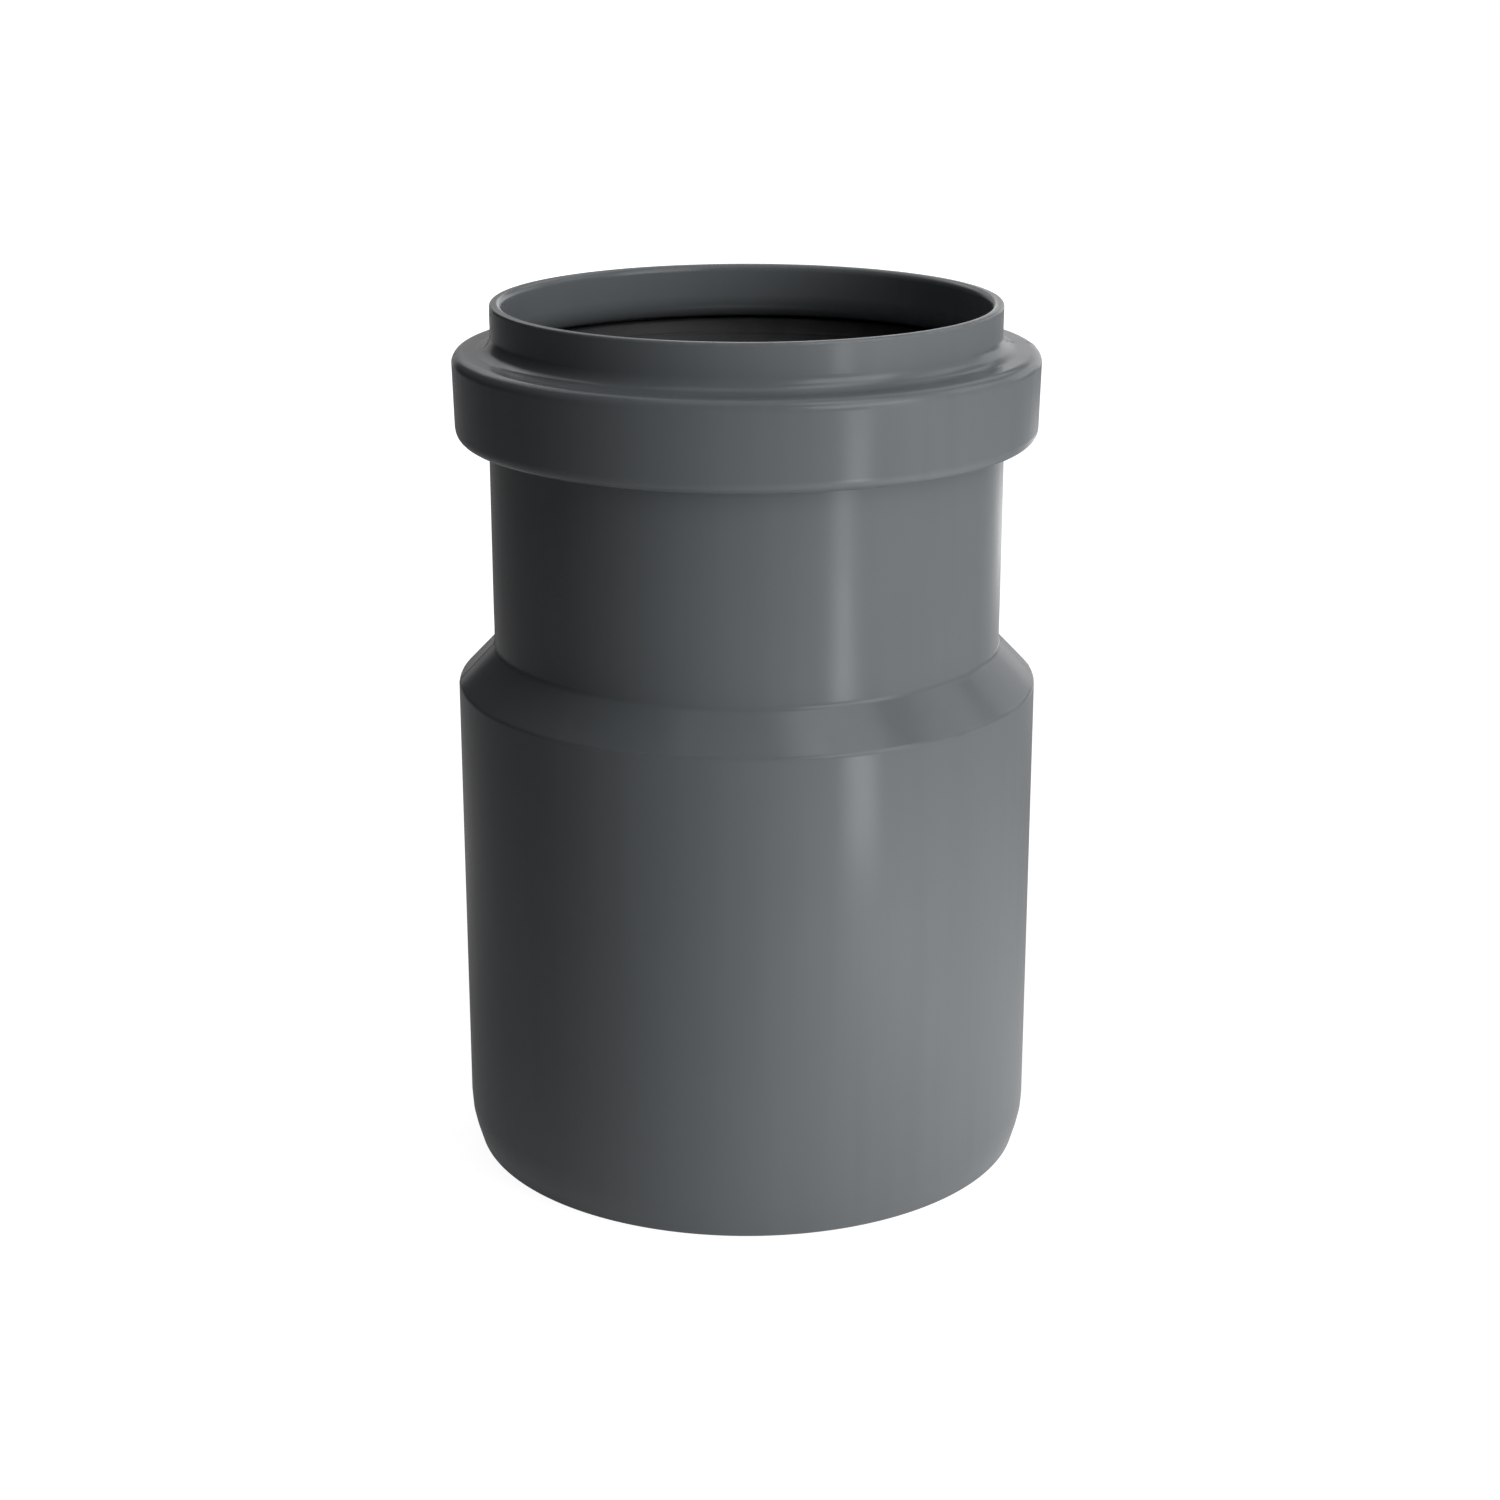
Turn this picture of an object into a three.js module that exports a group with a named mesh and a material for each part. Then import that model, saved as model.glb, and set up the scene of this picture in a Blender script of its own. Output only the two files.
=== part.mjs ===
// A grey polypropylene push-fit reducing coupling for waste pipe, in millimetres, +Z up.
// The lower end is a plain spigot that goes into a 110 mm socket. The upper end is a socket
// with a rubber lip seal that takes a 90 mm pipe. Both pieces are solids of revolution about Z.
// The origin is the centre of the spigot's end face, and +Z points out of the socket's mouth.

import * as THREE from 'three';

// ---- Driving dimensions ----

const LENGTH = 164.5;                 // spigot end to socket rim
const SEGMENTS = 72;                  // facets round the axis
const FINE_FILLET = 1;                // a fillet below this radius is one facet

const SPIGOT_RADIUS = 55;             // outside, half of the 110 mm pipe size
const SPIGOT_WALL = 2.7;
const SPIGOT_CHAMFER = { length: 5.6, depth: 1.65, blend: 16 };

const NECK_RADIUS = 48.1;             // outside of the sleeve that holds the 90 mm pipe
const CONE_BASE = 92.8;               // height where the spigot starts to narrow
const CONE_TOP = 100;                 // height where it has narrowed to the neck

const BULGE_BASE = 139.5;             // underside of the ring round the seal groove
const BULGE_TOP = 155.9;              // shoulder above the ring
const BULGE_BASE_RADIUS = 54.3;
const BULGE_TOP_RADIUS = 54.7;

const COLLAR_BASE_RADIUS = 47.4;      // the short collar between the shoulder and the rim
const COLLAR_RIM_RADIUS = 47.5;

const MOUTH_RADIUS = 45.25;           // inside of the collar: 0.25 mm clear of the 90 mm pipe
const SLEEVE_RADIUS = 45.2;           // inside of the neck
const STOP_RADIUS = 42.6;             // bore of the ledge that the pipe's end meets
const STOP_TOP = 103.2;
const STOP_BASE = 101.3;

const GROOVE_RADIUS = 52;
const GROOVE_BASE = 141.8;
const GROOVE_TOP = 153.7;

const SEAL_GAP = 0.35;                // between the seal's heel and its groove
const SEAL_HEEL_THICKNESS = 4.05;
const SEAL_LIP_RADIUS = 43.3;         // relaxed: 1.7 mm inside the 90 mm pipe's surface
const SEAL_LIP_THICKNESS = 1.5;

// ---- Geometry helpers ----

// Points of the arc that replaces a corner between the points before and after it.
function cornerArc(before, corner, after) {
  const here = new THREE.Vector2(corner.r, corner.z);
  if (!corner.fillet) return [here];
  const toBefore = new THREE.Vector2(before.r, before.z).sub(here).normalize();
  const toAfter = new THREE.Vector2(after.r, after.z).sub(here).normalize();
  const halfAngle = Math.acos(toBefore.dot(toAfter)) / 2;
  const middle = toBefore.clone().add(toAfter).normalize();
  const centre = here.clone().addScaledVector(middle, corner.fillet / Math.sin(halfAngle));
  const reach = corner.fillet / Math.tan(halfAngle);
  const start = here.clone().addScaledVector(toBefore, reach).sub(centre).angle();
  const turn = Math.PI - 2 * halfAngle;
  const sense = Math.sign(toAfter.cross(toBefore));
  const maxStep = THREE.MathUtils.degToRad(corner.fillet < FINE_FILLET ? 90 : 30);
  const steps = Math.max(1, Math.ceil(turn / maxStep));
  const points = [];
  for (let i = 0; i <= steps; i += 1) {
    const angle = start + (sense * turn * i) / steps;
    points.push(new THREE.Vector2(Math.cos(angle), Math.sin(angle)).multiplyScalar(corner.fillet).add(centre));
  }
  return points;
}

// Revolves a closed outline about Z. Its corners run up the outside and down the inside.
function revolve(corners) {
  const outline = corners.flatMap((corner, i) => {
    const before = corners[(i + corners.length - 1) % corners.length];
    const after = corners[(i + 1) % corners.length];
    return cornerArc(before, corner, after);
  });
  outline.push(outline[0].clone());
  return new THREE.LatheGeometry(outline, SEGMENTS).rotateX(Math.PI / 2);
}

function piece(name, geometry, material) {
  const mesh = new THREE.Mesh(geometry, material);
  mesh.name = name;
  return mesh;
}

// ---- Pieces ----

// One injection-moulded body: spigot, 45-degree cone, neck, seal housing and collar.
function couplingBody(material) {
  const spigotBore = SPIGOT_RADIUS - SPIGOT_WALL;
  const boreConeBase = STOP_BASE - (spigotBore - STOP_RADIUS);
  const outside = [
    { r: SPIGOT_RADIUS - SPIGOT_CHAMFER.depth, z: 0, fillet: 0.25 },
    { r: SPIGOT_RADIUS, z: SPIGOT_CHAMFER.length, fillet: SPIGOT_CHAMFER.blend },
    { r: SPIGOT_RADIUS, z: CONE_BASE, fillet: 1.2 },
    { r: NECK_RADIUS, z: CONE_TOP, fillet: 1.4 },
    { r: NECK_RADIUS, z: BULGE_BASE, fillet: 0.8 },
    { r: BULGE_BASE_RADIUS, z: BULGE_BASE, fillet: 2.3 },
    { r: BULGE_TOP_RADIUS, z: BULGE_TOP, fillet: 2.1 },
    { r: COLLAR_BASE_RADIUS, z: BULGE_TOP, fillet: 2.8 },
    { r: COLLAR_RIM_RADIUS, z: LENGTH, fillet: 0.5 },
  ];
  const inside = [
    { r: MOUTH_RADIUS, z: LENGTH, fillet: 1.2 },
    { r: MOUTH_RADIUS, z: GROOVE_TOP, fillet: 4.6 },
    { r: GROOVE_RADIUS, z: GROOVE_TOP, fillet: 0.8 },
    { r: GROOVE_RADIUS, z: GROOVE_BASE, fillet: 0.8 },
    { r: SLEEVE_RADIUS, z: GROOVE_BASE, fillet: 0.8 },
    { r: SLEEVE_RADIUS, z: STOP_TOP, fillet: 0.8 },
    { r: STOP_RADIUS, z: STOP_TOP, fillet: 0.5 },
    { r: STOP_RADIUS, z: STOP_BASE, fillet: 0.5 },
    { r: spigotBore, z: boreConeBase, fillet: 3 },
    { r: spigotBore, z: 0, fillet: 0.25 },
  ];
  return piece('coupling_body', revolve([...outside, ...inside]), material);
}

// Rubber ring: a heel that fills the groove, and a lip that leans in and down the socket.
function lipSeal(material) {
  const heelOuter = GROOVE_RADIUS - SEAL_GAP;
  const heelInner = heelOuter - SEAL_HEEL_THICKNESS;
  const base = GROOVE_BASE + SEAL_GAP;
  const top = GROOVE_TOP - SEAL_GAP;
  const lipTipHeight = base + 2.75;
  const lipRoot = { r: heelInner + 0.6, z: top };
  const lipLength = Math.hypot(lipRoot.r - SEAL_LIP_RADIUS, lipRoot.z - lipTipHeight);
  const lipDirection = {
    r: (SEAL_LIP_RADIUS - lipRoot.r) / lipLength,
    z: (lipTipHeight - lipRoot.z) / lipLength,
  };
  // The lip's underside is parallel to its top face, one lip thickness further out.
  const tipUnder = {
    r: SEAL_LIP_RADIUS - lipDirection.z * SEAL_LIP_THICKNESS,
    z: lipTipHeight + lipDirection.r * SEAL_LIP_THICKNESS,
  };
  const crotch = {
    r: heelInner,
    z: tipUnder.z + ((heelInner - tipUnder.r) * lipDirection.z) / lipDirection.r,
  };
  const corners = [
    { r: heelInner, z: base, fillet: 0.4 },
    { r: heelOuter, z: base, fillet: 0.9 },
    { r: heelOuter, z: top, fillet: 0.9 },
    { ...lipRoot, fillet: 0.8 },
    { r: SEAL_LIP_RADIUS, z: lipTipHeight, fillet: 0.4 },
    { ...tipUnder, fillet: 0.4 },
    { ...crotch, fillet: 0.3 },
  ];
  return piece('lip_seal', revolve(corners), material);
}

// ---- Assembly ----

const polypropylene = new THREE.MeshStandardMaterial({ color: 0x6f7375, roughness: 0.42, metalness: 0 });
const rubber = new THREE.MeshStandardMaterial({ color: 0x17181a, roughness: 0.6, metalness: 0 });

const coupling = new THREE.Group();
coupling.add(couplingBody(polypropylene), lipSeal(rubber));

export default coupling;
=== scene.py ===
"""Looks of a grey push-fit reducing coupling: a moulded polypropylene body and its rubber lip seal.

Lengths are in metres. Both pieces are outlines turned about the frame's Z axis, with the marks of
the mould added to the surface: the parting line, faint sinks and a little waviness.
"""

import math

import bpy
import numpy as np
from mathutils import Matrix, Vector


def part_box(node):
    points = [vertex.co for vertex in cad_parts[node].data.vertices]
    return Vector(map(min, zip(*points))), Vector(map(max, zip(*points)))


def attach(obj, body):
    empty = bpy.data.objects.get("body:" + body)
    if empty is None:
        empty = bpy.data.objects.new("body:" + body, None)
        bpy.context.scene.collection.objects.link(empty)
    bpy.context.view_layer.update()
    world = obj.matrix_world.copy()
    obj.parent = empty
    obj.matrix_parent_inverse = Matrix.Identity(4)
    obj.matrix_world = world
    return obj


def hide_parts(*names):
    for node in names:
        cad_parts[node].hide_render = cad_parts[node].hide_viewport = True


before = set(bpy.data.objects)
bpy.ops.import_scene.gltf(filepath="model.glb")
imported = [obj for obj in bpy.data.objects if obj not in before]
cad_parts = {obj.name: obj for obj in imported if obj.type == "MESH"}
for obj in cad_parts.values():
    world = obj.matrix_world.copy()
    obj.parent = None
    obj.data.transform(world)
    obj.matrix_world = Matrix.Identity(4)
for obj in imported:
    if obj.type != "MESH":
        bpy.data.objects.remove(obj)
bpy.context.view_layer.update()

# ---- Driving dimensions ----

_, body_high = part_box("coupling_body")
seal_low, seal_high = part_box("lip_seal")

LENGTH = body_high.z
SPIGOT_RADIUS = body_high.x
SPIGOT_WALL = 0.0027
CHAMFER_LENGTH = 0.0056
CHAMFER_DEPTH = 0.00165
CHAMFER_BLEND = 0.016

NECK_RADIUS = 0.0481
CONE_BASE = 0.0928
CONE_TOP = 0.1

BULGE_BASE = 0.1395
BULGE_TOP = 0.1559
BULGE_BASE_RADIUS = 0.0543
BULGE_TOP_RADIUS = 0.0547
COLLAR_BASE_RADIUS = 0.0474
COLLAR_RIM_RADIUS = 0.0475

MOUTH_RADIUS = 0.04525
SLEEVE_RADIUS = 0.0452
STOP_RADIUS = 0.0426
STOP_TOP = 0.1032
STOP_BASE = 0.1013

SEAL_GAP = 0.00035
GROOVE_RADIUS = seal_high.x + SEAL_GAP
GROOVE_BASE = seal_low.z - SEAL_GAP
GROOVE_TOP = seal_high.z + SEAL_GAP

SEAL_HEEL_THICKNESS = 0.00405
SEAL_LIP_RADIUS = 0.0433
SEAL_LIP_THICKNESS = 0.0015
SEAL_LIP_DROP = 0.00275
SEAL_RIB_HEIGHT = 0.00012           # fine ribs round the lip wipe the pipe
SEAL_RIB_WIDTH = 0.00022
SEAL_RIB_PITCH = 0.0016

COLUMNS = 240                       # quads round the axis, before the parting line's own
ROW = 0.0025                        # longest quad along a straight stretch
SEAL_ROW = 0.00012                  # short enough for the ribs of the seal
SUPPORT = 0.00012                   # short quad that keeps a fillet's shading off the flat
ARC_STEP = math.radians(13)

SEAM_ANGLE = math.radians(5)        # the mould's two halves meet here and on the far side
SEAMS = (SEAM_ANGLE, SEAM_ANGLE + math.pi)
SEAM_HEIGHT = 0.00006
SEAM_HALF_WIDTH = 0.00012
SEAM_COLUMNS = (-3, -2, -1, -0.5, 0, 0.5, 1, 2, 3)     # in half widths from the seam
SEAM_CLEARANCE = 3.5                # no other column comes closer, in half widths
SEAM_FADE = 0.0015                  # the seam dies away over this length at both ends
SINK_DEPTH = 0.00004                # where the wall thickens over the inner ledge
SINK_REACH = 0.0025
WEAR_AND_HIGHLIGHT_FILLET = 0.0003                # corners this sharp get the most rubbing and the most painted highlight

OUTSIDE_RADIUS = COLLAR_BASE_RADIUS - 0.001     # the whole outside of the body is beyond this
FACING_OUT = 0.02                   # a normal with a larger radial part faces outwards
FACING_IN = -0.5                    # a normal with a smaller radial part faces the axis

# ---- Colours ----

PLASTIC_DARK = (0.176, 0.192, 0.203)
PLASTIC_LIGHT = (0.193, 0.210, 0.222)
PLASTIC_FLOW = (0.166, 0.181, 0.192)
# lighter colour for sharp outer edges: partly rubbed wear, partly a painted highlight
PLASTIC_RUBBED_AND_HIGHLIGHT = (0.235, 0.252, 0.262)
RUBBER_BARE = (0.040, 0.041, 0.043)
RUBBER_BLOOM = (0.062, 0.063, 0.066)
WHITE = (1, 1, 1, 1)

# ---- Camera and stage ----

CAMERA_PLACE = (0.0006, -0.53182, 0.24659)
CAMERA_TILT = math.radians(90 - 17.669)     # 90 would look level
CAMERA_LENS = 69.05
SENSOR_WIDTH = 36
NEAREST_SEEN = 0.01

SOFTBOX_DISTANCE = 1.2
GLOW_HEIGHT = 0.003                 # of a glow above the table
ROOM_LIGHT = 0.015                  # all that the walls of the studio give back

FLOOR_REACH = 6
FLOOR_CORNERS = ((-1, -1), (1, -1), (1, 1), (-1, 1))
FLOOR_COLOUR = (0.3, 0.3, 0.3, 1)
SHADOW_REACH = 0.4
SHADOW_VALUE = 0.92                 # how white the floor's glow is under the part: a painted shadow

# ---- Outlines ----


def corner_arc(before, corner, after):
    """The points of the fillet that replaces a corner, which is (radius, height, fillet)."""
    here = Vector(corner[:2])
    fillet = corner[2]
    to_before = (Vector(before[:2]) - here).normalized()
    to_after = (Vector(after[:2]) - here).normalized()
    half = to_before.angle(to_after) / 2
    centre = here + (to_before + to_after).normalized() * (fillet / math.sin(half))
    start = here + to_before * (fillet / math.tan(half)) - centre
    turn = math.pi - 2 * half
    sense = math.copysign(1, to_after.x * to_before.y - to_after.y * to_before.x)
    steps = max(2, math.ceil(turn / ARC_STEP))
    first = math.atan2(start.y, start.x)
    angles = [first + sense * turn * i / steps for i in range(steps + 1)]
    return [centre + Vector((math.cos(a), math.sin(a))) * fillet for a in angles]


def fill_straight(start, end, row):
    """Points between two points: a support point near each end, and rows no longer than row."""
    length = (end - start).length
    if length < 4 * SUPPORT:
        return []
    inner = length - 2 * SUPPORT
    rows = max(1, math.ceil(inner / row))
    places = [SUPPORT + inner * i / rows for i in range(rows + 1)]
    return [start.lerp(end, p / length) for p in places]


def exposure(before, corner, after):
    """How much a corner is lightened, from 0 to 1, as rubbed wear and as a painted highlight: sharp
    outer corners are, and inner corners aren't.
    """
    here = Vector(corner[:2])
    inner = (here - Vector(before[:2])).cross(Vector(after[:2]) - here) < 0
    return 0 if inner else min(1, WEAR_AND_HIGHLIGHT_FILLET / corner[2])


def outline(corners, row):
    """A closed outline of (radius, height) points from its corners, and the wear and painted
    highlight at each point.
    """
    following = corners[1:] + corners[:1]
    previous = corners[-1:] + corners[:-1]
    arcs = [corner_arc(*three) for three in zip(previous, corners, following)]
    exposed = [exposure(*three) for three in zip(previous, corners, following)]
    points = []
    wear_and_highlight = []
    for arc, next_arc, worn_and_highlighted in zip(arcs, arcs[1:] + arcs[:1], exposed):
        straight = fill_straight(arc[-1], next_arc[0], row)
        points += arc + straight
        wear_and_highlight += [worn_and_highlighted] * len(arc) + [0] * len(straight)
    return np.array(points), np.array(wear_and_highlight)


def columns():
    """Angles round the axis, with close ones on each side of the two parting lines."""
    even = [2 * math.pi * i / COLUMNS for i in range(COLUMNS)]
    across = [k * SEAM_HALF_WIDTH / SPIGOT_RADIUS for k in SEAM_COLUMNS]
    clear = SEAM_CLEARANCE * SEAM_HALF_WIDTH / SPIGOT_RADIUS
    kept = [a for a in even if all(abs(a - s) > clear for s in SEAMS)]
    return np.array(sorted(kept + [s + a for s in SEAMS for a in across]))


def outline_normals(points):
    """Unit normals of a closed outline, which point out of the solid."""
    along = np.roll(points, -1, axis=0) - np.roll(points, 1, axis=0)
    normals = np.stack([along[:, 1], -along[:, 0]], axis=1)
    return normals / np.linalg.norm(normals, axis=1)[:, None]


def ring_faces(rows, cols):
    """Quads over a grid of points that closes on itself both ways."""
    index = np.arange(rows * cols).reshape(rows, cols)
    right = np.roll(index, -1, axis=1)
    above = np.roll(index, -1, axis=0)
    above_right = np.roll(above, -1, axis=1)
    return np.stack([index, right, above_right, above], axis=-1).reshape(-1, 4)


def turned_mesh(name, corners, angles, row, relief):
    """A mesh turned from a closed outline.

    relief(radius, height, angle, outward) gives each point's rise along its normal.
    """
    points, wear_and_highlight = outline(corners, row)
    rows, cols = len(points), len(angles)
    normals = outline_normals(points)
    radius, angle = np.meshgrid(points[:, 0], angles, indexing="ij")
    height = np.repeat(points[:, 1][:, None], cols, axis=1)
    outward = np.repeat(normals[:, 0][:, None], cols, axis=1)
    upward = np.repeat(normals[:, 1][:, None], cols, axis=1)
    rise = relief(radius, height, angle, outward)
    radius = radius + outward * rise
    height = height + upward * rise
    verts = np.stack([radius * np.cos(angle), radius * np.sin(angle), height], axis=-1)
    mesh = bpy.data.meshes.new(name)
    mesh.from_pydata(verts.reshape(-1, 3).tolist(), [], ring_faces(rows, cols).tolist())
    mesh.shade_smooth()
    worn_and_highlighted = mesh.attributes.new("edge_wear_and_highlight", "FLOAT", "POINT")
    worn_and_highlighted.data.foreach_set("value", np.repeat(wear_and_highlight, cols))
    return mesh


def add_piece(name, mesh, material, node):
    """A piece that rides on the root and takes the place of a CAD node."""
    piece = bpy.data.objects.new(name, mesh)
    bpy.context.scene.collection.objects.link(piece)
    mesh.materials.append(material)
    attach(piece, "root")
    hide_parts(node)


# ---- Node helpers ----


def new_material(name):
    material = bpy.data.materials.new(name)
    material.use_nodes = True
    tree = material.node_tree
    return material, tree, tree.nodes["Principled BSDF"]


def scaled_position(tree, scale):
    """The object's own coordinates, in metres, times a scale for each axis."""
    coords = tree.nodes.new("ShaderNodeTexCoord")
    mapping = tree.nodes.new("ShaderNodeMapping")
    mapping.inputs["Scale"].default_value = scale
    tree.links.new(coords.outputs["Object"], mapping.inputs["Vector"])
    return mapping.outputs["Vector"]


def noise_value(tree, scale, detail=2, roughness=0.5):
    node = tree.nodes.new("ShaderNodeTexNoise")
    node.inputs["Scale"].default_value = 1
    node.inputs["Detail"].default_value = detail
    node.inputs["Roughness"].default_value = roughness
    tree.links.new(scaled_position(tree, scale), node.inputs["Vector"])
    return node.outputs["Fac"]


def remap(tree, value, low, high, to_low, to_high):
    """The value, with low to high stretched over to_low to to_high, and held inside them."""
    node = tree.nodes.new("ShaderNodeMapRange")
    node.inputs["From Min"].default_value = low
    node.inputs["From Max"].default_value = high
    node.inputs["To Min"].default_value = to_low
    node.inputs["To Max"].default_value = to_high
    tree.links.new(value, node.inputs["Value"])
    return node.outputs["Result"]


def math_node(tree, operation, a, b):
    node = tree.nodes.new("ShaderNodeMath")
    node.operation = operation
    tree.links.new(a, node.inputs[0])
    tree.links.new(b, node.inputs[1])
    return node.outputs["Value"]


def mix_colour(tree, factor, a, b):
    """A colour between a, a socket or a colour, and the colour b."""
    node = tree.nodes.new("ShaderNodeMix")
    node.data_type = "RGBA"
    first, second = [s for s in node.inputs if s.type == "RGBA"]
    tree.links.new(factor, node.inputs["Factor"])
    if isinstance(a, tuple):
        first.default_value = (*a, 1)
    else:
        tree.links.new(a, first)
    second.default_value = (*b, 1)
    return next(s for s in node.outputs if s.type == "RGBA")


def edge_wear_and_highlight(tree, low, high):
    """The edges of a turned piece, lightened partly as rubbed wear and partly as a painted
    highlight, broken up by a patchy noise between low and high.
    """
    worn_and_highlighted = tree.nodes.new("ShaderNodeAttribute")
    worn_and_highlighted.attribute_name = "edge_wear_and_highlight"
    mottle = noise_value(tree, scale=(420, 420, 420), detail=3, roughness=0.6)
    patches = remap(tree, mottle, low, high, 0, 1)
    return math_node(tree, "MULTIPLY", worn_and_highlighted.outputs["Fac"], patches)


def bump(tree, height, distance, strength, below=None):
    node = tree.nodes.new("ShaderNodeBump")
    node.inputs["Distance"].default_value = distance
    node.inputs["Strength"].default_value = strength
    tree.links.new(height, node.inputs["Height"])
    if below:
        tree.links.new(below, node.inputs["Normal"])
    return node.outputs["Normal"]


# ---- Materials ----


def polypropylene():
    """Moulded grey polypropylene: satin, with faint flow marks, a fine grain, and edges lightened
    partly as rubbed wear and partly as a painted highlight.
    """
    material, tree, shader = new_material("polypropylene_satin_grey")
    clouds = noise_value(tree, scale=(28, 28, 16), detail=3)
    colour = mix_colour(tree, remap(tree, clouds, 0.3, 0.7, 0, 1), PLASTIC_DARK, PLASTIC_LIGHT)
    streaks = noise_value(tree, scale=(240, 240, 12))
    colour = mix_colour(tree, remap(tree, streaks, 0.4, 0.75, 0, 0.35), colour, PLASTIC_FLOW)
    # sharp outer edges lightened: partly rubbed wear, partly a painted highlight
    colour = mix_colour(tree, edge_wear_and_highlight(tree, 0.35, 0.7), colour, PLASTIC_RUBBED_AND_HIGHLIGHT)
    tree.links.new(colour, shader.inputs["Base Color"])
    patches = noise_value(tree, scale=(120, 120, 90), detail=4, roughness=0.6)
    tree.links.new(remap(tree, patches, 0.3, 0.7, 0.19, 0.24), shader.inputs["Roughness"])
    shader.inputs["IOR"].default_value = 1.49
    swell = noise_value(tree, scale=(45, 45, 30), detail=1)
    wave = bump(tree, swell, distance=0.0002, strength=0.04)
    pits = noise_value(tree, scale=(2600, 2600, 2600))
    grain = bump(tree, pits, distance=0.00004, strength=0.1, below=wave)
    tree.links.new(grain, shader.inputs["Normal"])
    return material


def seal_rubber():
    """Black moulded rubber with a thin, uneven bloom of mould release."""
    material, tree, shader = new_material("seal_rubber_black")
    patches = noise_value(tree, scale=(180, 180, 180), detail=4, roughness=0.6)
    bloom = remap(tree, patches, 0.45, 0.75, 0, 1)
    colour = mix_colour(tree, bloom, RUBBER_BARE, RUBBER_BLOOM)
    tree.links.new(colour, shader.inputs["Base Color"])
    tree.links.new(remap(tree, bloom, 0, 1, 0.5, 0.68), shader.inputs["Roughness"])
    pits = noise_value(tree, scale=(3200, 3200, 3200))
    grain = bump(tree, pits, distance=0.00005, strength=0.2)
    tree.links.new(grain, shader.inputs["Normal"])
    return material


# ---- Pieces ----


def seam_relief(radius, angle):
    """The thin raised line that the mould's two halves leave."""
    rise = 0
    for seam in SEAMS:
        across = (angle - seam) * radius / SEAM_HALF_WIDTH
        rise = rise + SEAM_HEIGHT * np.exp(-across**2)
    return rise


def body_relief(radius, height, angle, outward):
    """Marks of moulding on the outside: the parting line, and a sink over the inner ledge."""
    outside = (outward > FACING_OUT) & (radius > OUTSIDE_RADIUS)
    fade = np.clip(np.minimum(height, LENGTH - height) / SEAM_FADE, 0, 1)
    sink = SINK_DEPTH * np.exp(-(((height - STOP_TOP) / SINK_REACH) ** 2))
    return outside * (fade * seam_relief(radius, angle) - sink)


def coupling_body(material):
    """Spigot, 45-degree cone, neck, seal housing and collar, in one moulding."""
    bore = SPIGOT_RADIUS - SPIGOT_WALL
    bore_cone_base = STOP_BASE - (bore - STOP_RADIUS)
    corners = [
        (SPIGOT_RADIUS - CHAMFER_DEPTH, 0, 0.00025),
        (SPIGOT_RADIUS, CHAMFER_LENGTH, CHAMFER_BLEND),
        (SPIGOT_RADIUS, CONE_BASE, 0.0012),
        (NECK_RADIUS, CONE_TOP, 0.0014),
        (NECK_RADIUS, BULGE_BASE, 0.0008),
        (BULGE_BASE_RADIUS, BULGE_BASE, 0.0023),
        (BULGE_TOP_RADIUS, BULGE_TOP, 0.0021),
        (COLLAR_BASE_RADIUS, BULGE_TOP, 0.0028),
        (COLLAR_RIM_RADIUS, LENGTH, 0.0005),
        (MOUTH_RADIUS, LENGTH, 0.0012),
        (MOUTH_RADIUS, GROOVE_TOP, 0.0046),
        (GROOVE_RADIUS, GROOVE_TOP, 0.0008),
        (GROOVE_RADIUS, GROOVE_BASE, 0.0008),
        (SLEEVE_RADIUS, GROOVE_BASE, 0.0008),
        (SLEEVE_RADIUS, STOP_TOP, 0.0008),
        (STOP_RADIUS, STOP_TOP, 0.0005),
        (STOP_RADIUS, STOP_BASE, 0.0005),
        (bore, bore_cone_base, 0.003),
        (bore, 0, 0.00025),
    ]
    mesh = turned_mesh("moulded_body", corners, columns(), ROW, body_relief)
    add_piece("moulded_body", mesh, material, "coupling_body")


def seal_relief(radius, height, angle, outward):
    """Three fine ribs on the side of the lip that a pipe slides over."""
    wiping = outward < FACING_IN
    middle = (seal_low.z + SEAL_LIP_DROP + seal_high.z) / 2
    ribs = 0
    for k in (-1, 0, 1):
        away = (height - middle - k * SEAL_RIB_PITCH) / SEAL_RIB_WIDTH
        ribs = ribs + np.exp(-away**2)
    return wiping * SEAL_RIB_HEIGHT * ribs


def lip_seal(material):
    """A heel that fills the groove, and a lip that leans in and down the socket."""
    heel_outer = seal_high.x
    heel_inner = heel_outer - SEAL_HEEL_THICKNESS
    base = seal_low.z
    top = seal_high.z
    lip_root = Vector((heel_inner + 0.0006, top))
    lip_tip = Vector((SEAL_LIP_RADIUS, base + SEAL_LIP_DROP))
    slope = (lip_tip - lip_root).normalized()
    across = Vector((-slope.y, slope.x)) * SEAL_LIP_THICKNESS
    tip_under = lip_tip + across
    crotch = tip_under + slope * ((heel_inner - tip_under.x) / slope.x)
    corners = [
        (heel_inner, base, 0.0004),
        (heel_outer, base, 0.0009),
        (heel_outer, top, 0.0009),
        (*lip_root, 0.0008),
        (*lip_tip, 0.0004),
        (*tip_under, 0.0004),
        (*crotch, 0.0003),
    ]
    angles = np.linspace(0, 2 * math.pi, COLUMNS, endpoint=False)
    mesh = turned_mesh("rubber_lip_seal", corners, angles, SEAL_ROW, seal_relief)
    add_piece("rubber_lip_seal", mesh, material, "lip_seal")


# ---- Stage, lights and camera ----


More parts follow.
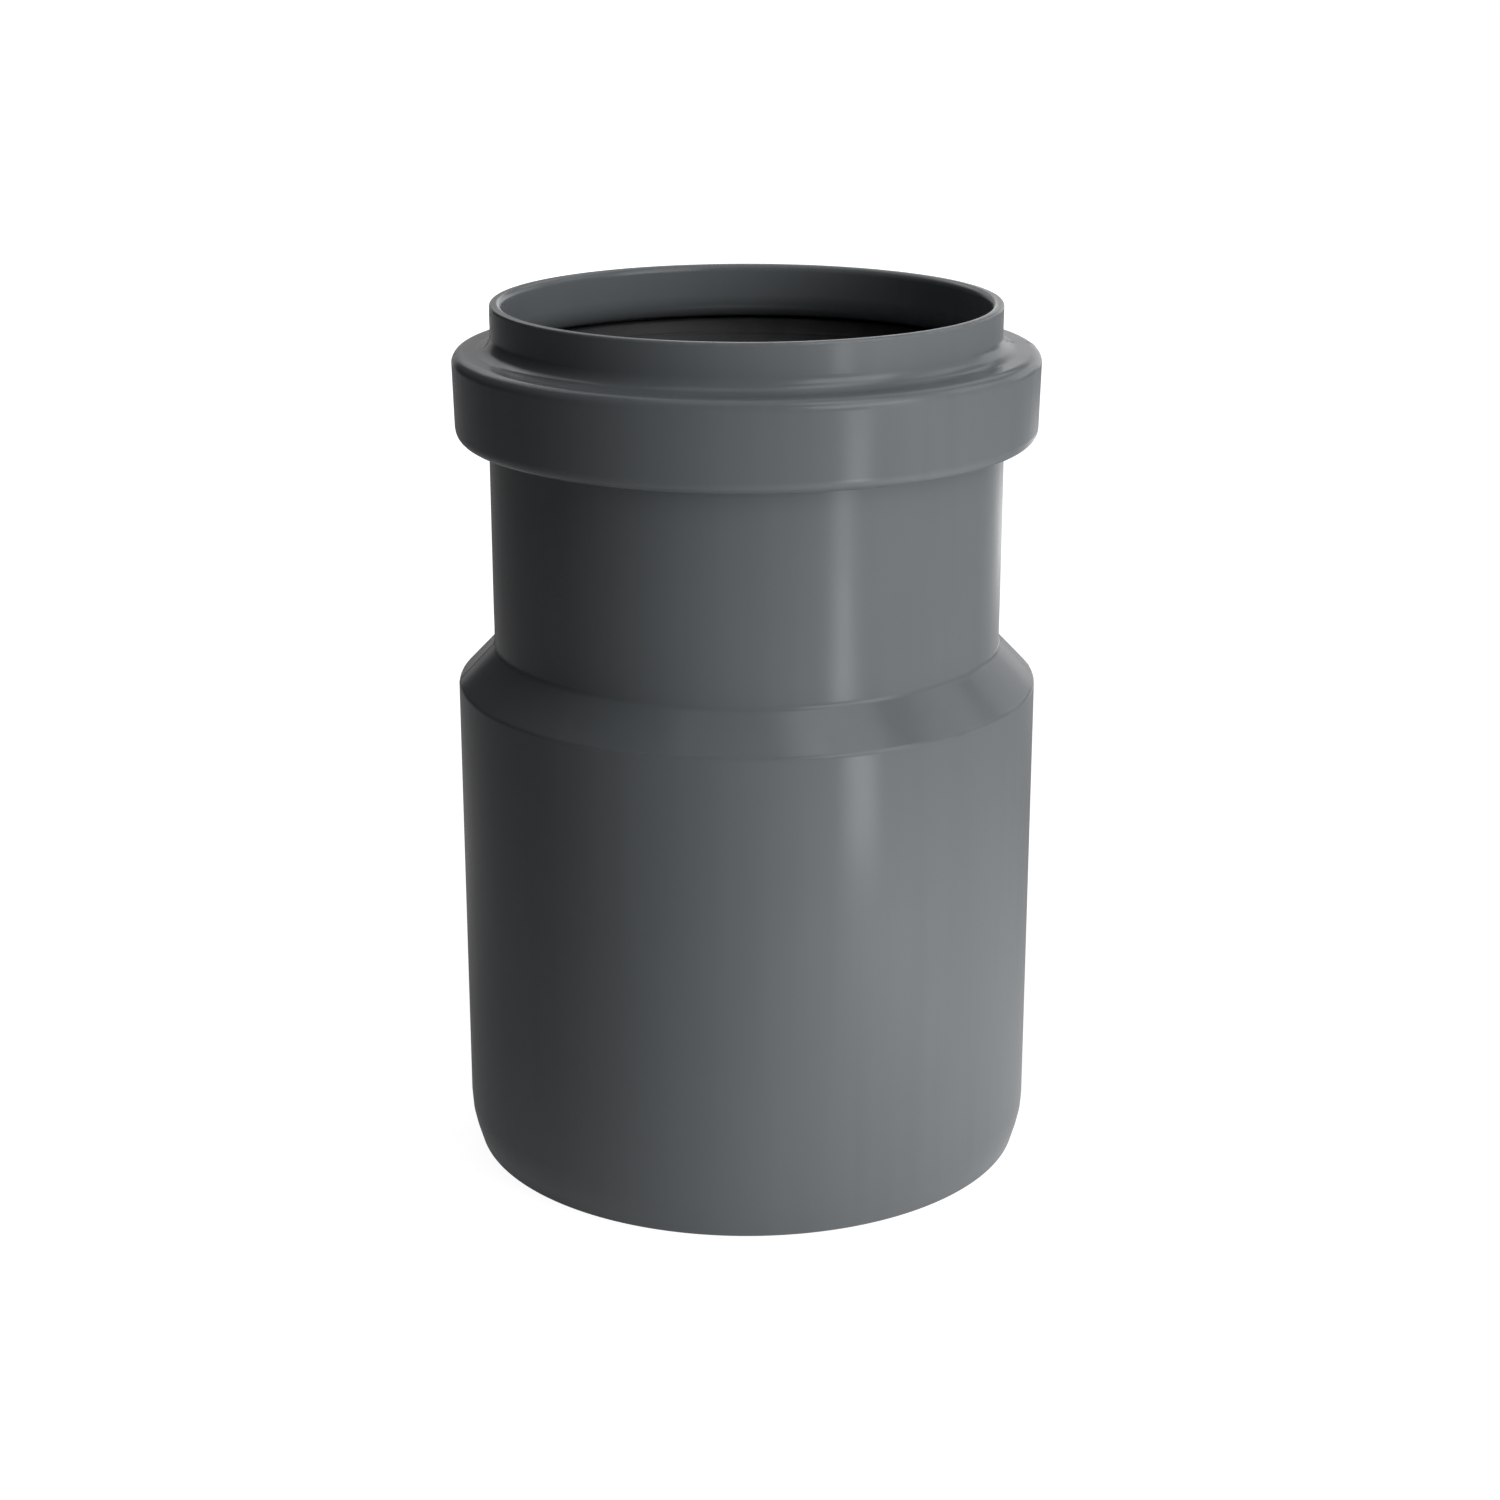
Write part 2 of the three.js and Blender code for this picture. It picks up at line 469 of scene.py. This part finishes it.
def add_camera():
    """A 69 mm view from in front and a little above, looking down 17.7 degrees."""
    data = bpy.data.cameras.new("camera")
    data.sensor_width = SENSOR_WIDTH
    data.lens = CAMERA_LENS
    data.clip_start = NEAREST_SEEN
    camera = bpy.data.objects.new("camera", data)
    camera.location = CAMERA_PLACE
    camera.rotation_euler = (CAMERA_TILT, 0, 0)
    bpy.context.scene.collection.objects.link(camera)
    bpy.context.scene.camera = camera


def area_light(name, width, height, power):
    data = bpy.data.lights.new(name, "AREA")
    data.shape = "RECTANGLE"
    data.size = width
    data.size_y = height
    data.energy = power
    light = bpy.data.objects.new(name, data)
    light.visible_camera = False
    bpy.context.scene.collection.objects.link(light)
    return light


def softbox(name, azimuth, elevation, width, height, power):
    """A softbox aimed at the middle of the part. Azimuth 0 is the camera's side, and 90 is +X.

    Angles are in degrees, and power is in watts.
    """
    light = area_light(name, width, height, power)
    a = math.radians(azimuth)
    e = math.radians(elevation)
    back = Vector((math.sin(a) * math.cos(e), -math.cos(a) * math.cos(e), math.sin(e)))
    light.location = Vector((0, 0, LENGTH / 2)) + back * SOFTBOX_DISTANCE
    light.rotation_euler = back.to_track_quat("Z", "Y").to_euler()
    return light


def table_glow(name, azimuth, near, far, width, power):
    """The glow of a light on the glossy table: a strip that lies on it, pointing at the part."""
    light = area_light(name, far - near, width, power)
    a = math.radians(azimuth)
    away = Vector((math.sin(a), -math.cos(a), 0))
    light.location = away * (near + far) / 2 + Vector((0, 0, GLOW_HEIGHT))
    light.rotation_euler = (math.pi, 0, math.atan2(away.y, away.x))


def camera_only(tree, for_camera, for_light):
    """A shader that the camera sees as one thing, and the part is lit by as another."""
    path = tree.nodes.new("ShaderNodeLightPath")
    mix = tree.nodes.new("ShaderNodeMixShader")
    tree.links.new(path.outputs["Is Camera Ray"], mix.inputs["Fac"])
    tree.links.new(for_light, mix.inputs[1])
    tree.links.new(for_camera, mix.inputs[2])
    return mix.outputs["Shader"]


def add_world():
    """White to the camera, and nearly dark to the part, which the softboxes light."""
    world = bpy.data.worlds.new("studio")
    world.use_nodes = True
    bpy.context.scene.world = world
    tree = world.node_tree
    seen = tree.nodes.new("ShaderNodeBackground")
    seen.inputs["Color"].default_value = WHITE
    dim = tree.nodes["Background"]
    dim.inputs["Color"].default_value = WHITE
    dim.inputs["Strength"].default_value = ROOM_LIGHT
    shader = camera_only(tree, seen.outputs[0], dim.outputs[0])
    tree.links.new(shader, tree.nodes["World Output"].inputs["Surface"])


def glowing(tree, shader):
    """The shader with an emission added to it, and the emission."""
    emission = tree.nodes.new("ShaderNodeEmission")
    both = tree.nodes.new("ShaderNodeAddShader")
    tree.links.new(shader.outputs[0], both.inputs[0])
    tree.links.new(emission.outputs[0], both.inputs[1])
    return both.outputs[0], emission


def pool(tree, azimuth, distance, radius, centre_value, outer_value=0):
    """A soft round patch of the floor: one value at its centre, fading to another at its radius."""
    a = math.radians(azimuth)
    centre = Vector((math.sin(a), -math.cos(a), 0)) * distance
    coords = tree.nodes.new("ShaderNodeTexCoord")
    mapping = tree.nodes.new("ShaderNodeMapping")
    mapping.inputs["Scale"].default_value = (1 / radius,) * 3
    mapping.inputs["Location"].default_value = -centre / radius
    tree.links.new(coords.outputs["Object"], mapping.inputs["Vector"])
    falloff = tree.nodes.new("ShaderNodeTexGradient")
    falloff.gradient_type = "QUADRATIC_SPHERE"
    tree.links.new(mapping.outputs["Vector"], falloff.inputs["Vector"])
    return remap(tree, falloff.outputs["Fac"], 0, 1, outer_value, centre_value)


def floor_light(tree):
    """How strongly the floor glows: most on the right, where the key light spills on it."""
    pools = [
        pool(tree, azimuth=48, distance=0.19, radius=0.3, centre_value=1.08),
        pool(tree, azimuth=100, distance=0.2, radius=0.4, centre_value=0.26),
        pool(tree, azimuth=-140, distance=0.2, radius=0.32, centre_value=0.13),
        pool(tree, azimuth=155, distance=0.55, radius=0.35, centre_value=1.3),
        pool(tree, azimuth=60, distance=1.15, radius=0.65, centre_value=0.5),
    ]
    total = pools[0]
    for another in pools[1:]:
        total = math_node(tree, "ADD", total, another)
    return total


def add_floor():
    """A matte floor that the camera sees as all but white, with a faint shadow under the part:
    partly cast, and partly painted by dimming its glow there.
    """
    mesh = bpy.data.meshes.new("floor")
    corners = [(x * FLOOR_REACH, y * FLOOR_REACH, 0) for x, y in FLOOR_CORNERS]
    mesh.from_pydata(corners, [], [(0, 1, 2, 3)])
    floor = bpy.data.objects.new("floor", mesh)
    bpy.context.scene.collection.objects.link(floor)
    material, tree, shader = new_material("pale_floor")
    shader.inputs["Base Color"].default_value = FLOOR_COLOUR
    shader.inputs["Roughness"].default_value = 1
    shader.inputs["Specular IOR Level"].default_value = 0
    lit, glow = glowing(tree, shader)
    tree.links.new(floor_light(tree), glow.inputs["Strength"])
    seen, white = glowing(tree, shader)
    # the glow the camera sees dims towards the part: a painted shadow on the floor
    shaded = pool(tree, 0, 0, SHADOW_REACH, centre_value=SHADOW_VALUE, outer_value=1)
    tree.links.new(shaded, white.inputs["Strength"])
    mixed = camera_only(tree, seen, lit)
    tree.links.new(mixed, tree.nodes["Material Output"].inputs["Surface"])
    mesh.materials.append(material)


def add_keys():
    """The broad main light from the right of the camera, with one overhead and a weak fill."""
    key_low = softbox("key_low", azimuth=54, elevation=6, width=0.55, height=0.4, power=5.85)
    key_low.visible_glossy = False      # or its glare would eat into the outline from behind
    softbox("key_high", azimuth=48, elevation=30, width=0.85, height=0.6, power=3.1)
    softbox("key_top", azimuth=60, elevation=60, width=0.5, height=0.5, power=1.2)
    softbox("overhead", azimuth=0, elevation=88, width=0.9, height=0.9, power=1.3)
    softbox("right_fill", azimuth=105, elevation=35, width=0.5, height=0.5, power=0.6)


def add_rear_lights():
    """Weaker lights behind the part: one low, one high, one on each side, and two backdrops."""
    rear_low = softbox("rear_low", azimuth=180, elevation=5, width=0.9, height=0.3, power=2.4)
    rear_low.visible_glossy = False     # it brings out the colour, and leaves no reflection
    softbox("right_rear", azimuth=135, elevation=15, width=0.5, height=0.5, power=0.5)
    softbox("left_rear", azimuth=-160, elevation=30, width=0.5, height=0.5, power=0.45)
    softbox("rear", azimuth=-176, elevation=50, width=1.6, height=0.9, power=3.0)
    softbox("backdrop_right", azimuth=165, elevation=8, width=0.75, height=0.5, power=0.95)
    softbox("backdrop_left", azimuth=-168, elevation=8, width=0.7, height=0.5, power=0.38)


def add_strip_glows():
    """A strip light's glow on the table, which the walls mirror as a narrow upright highlight."""
    table_glow("strip_glow_far", azimuth=41, near=0.5, far=1.1, width=0.1, power=0.4)
    table_glow("strip_glow_near", azimuth=41, near=0.25, far=0.5, width=0.058, power=0.15)


add_camera()
coupling_body(polypropylene())
lip_seal(seal_rubber())
add_world()
add_floor()
add_keys()
add_rear_lights()
add_strip_glows()
bpy.context.scene.view_settings.view_transform = "Standard"
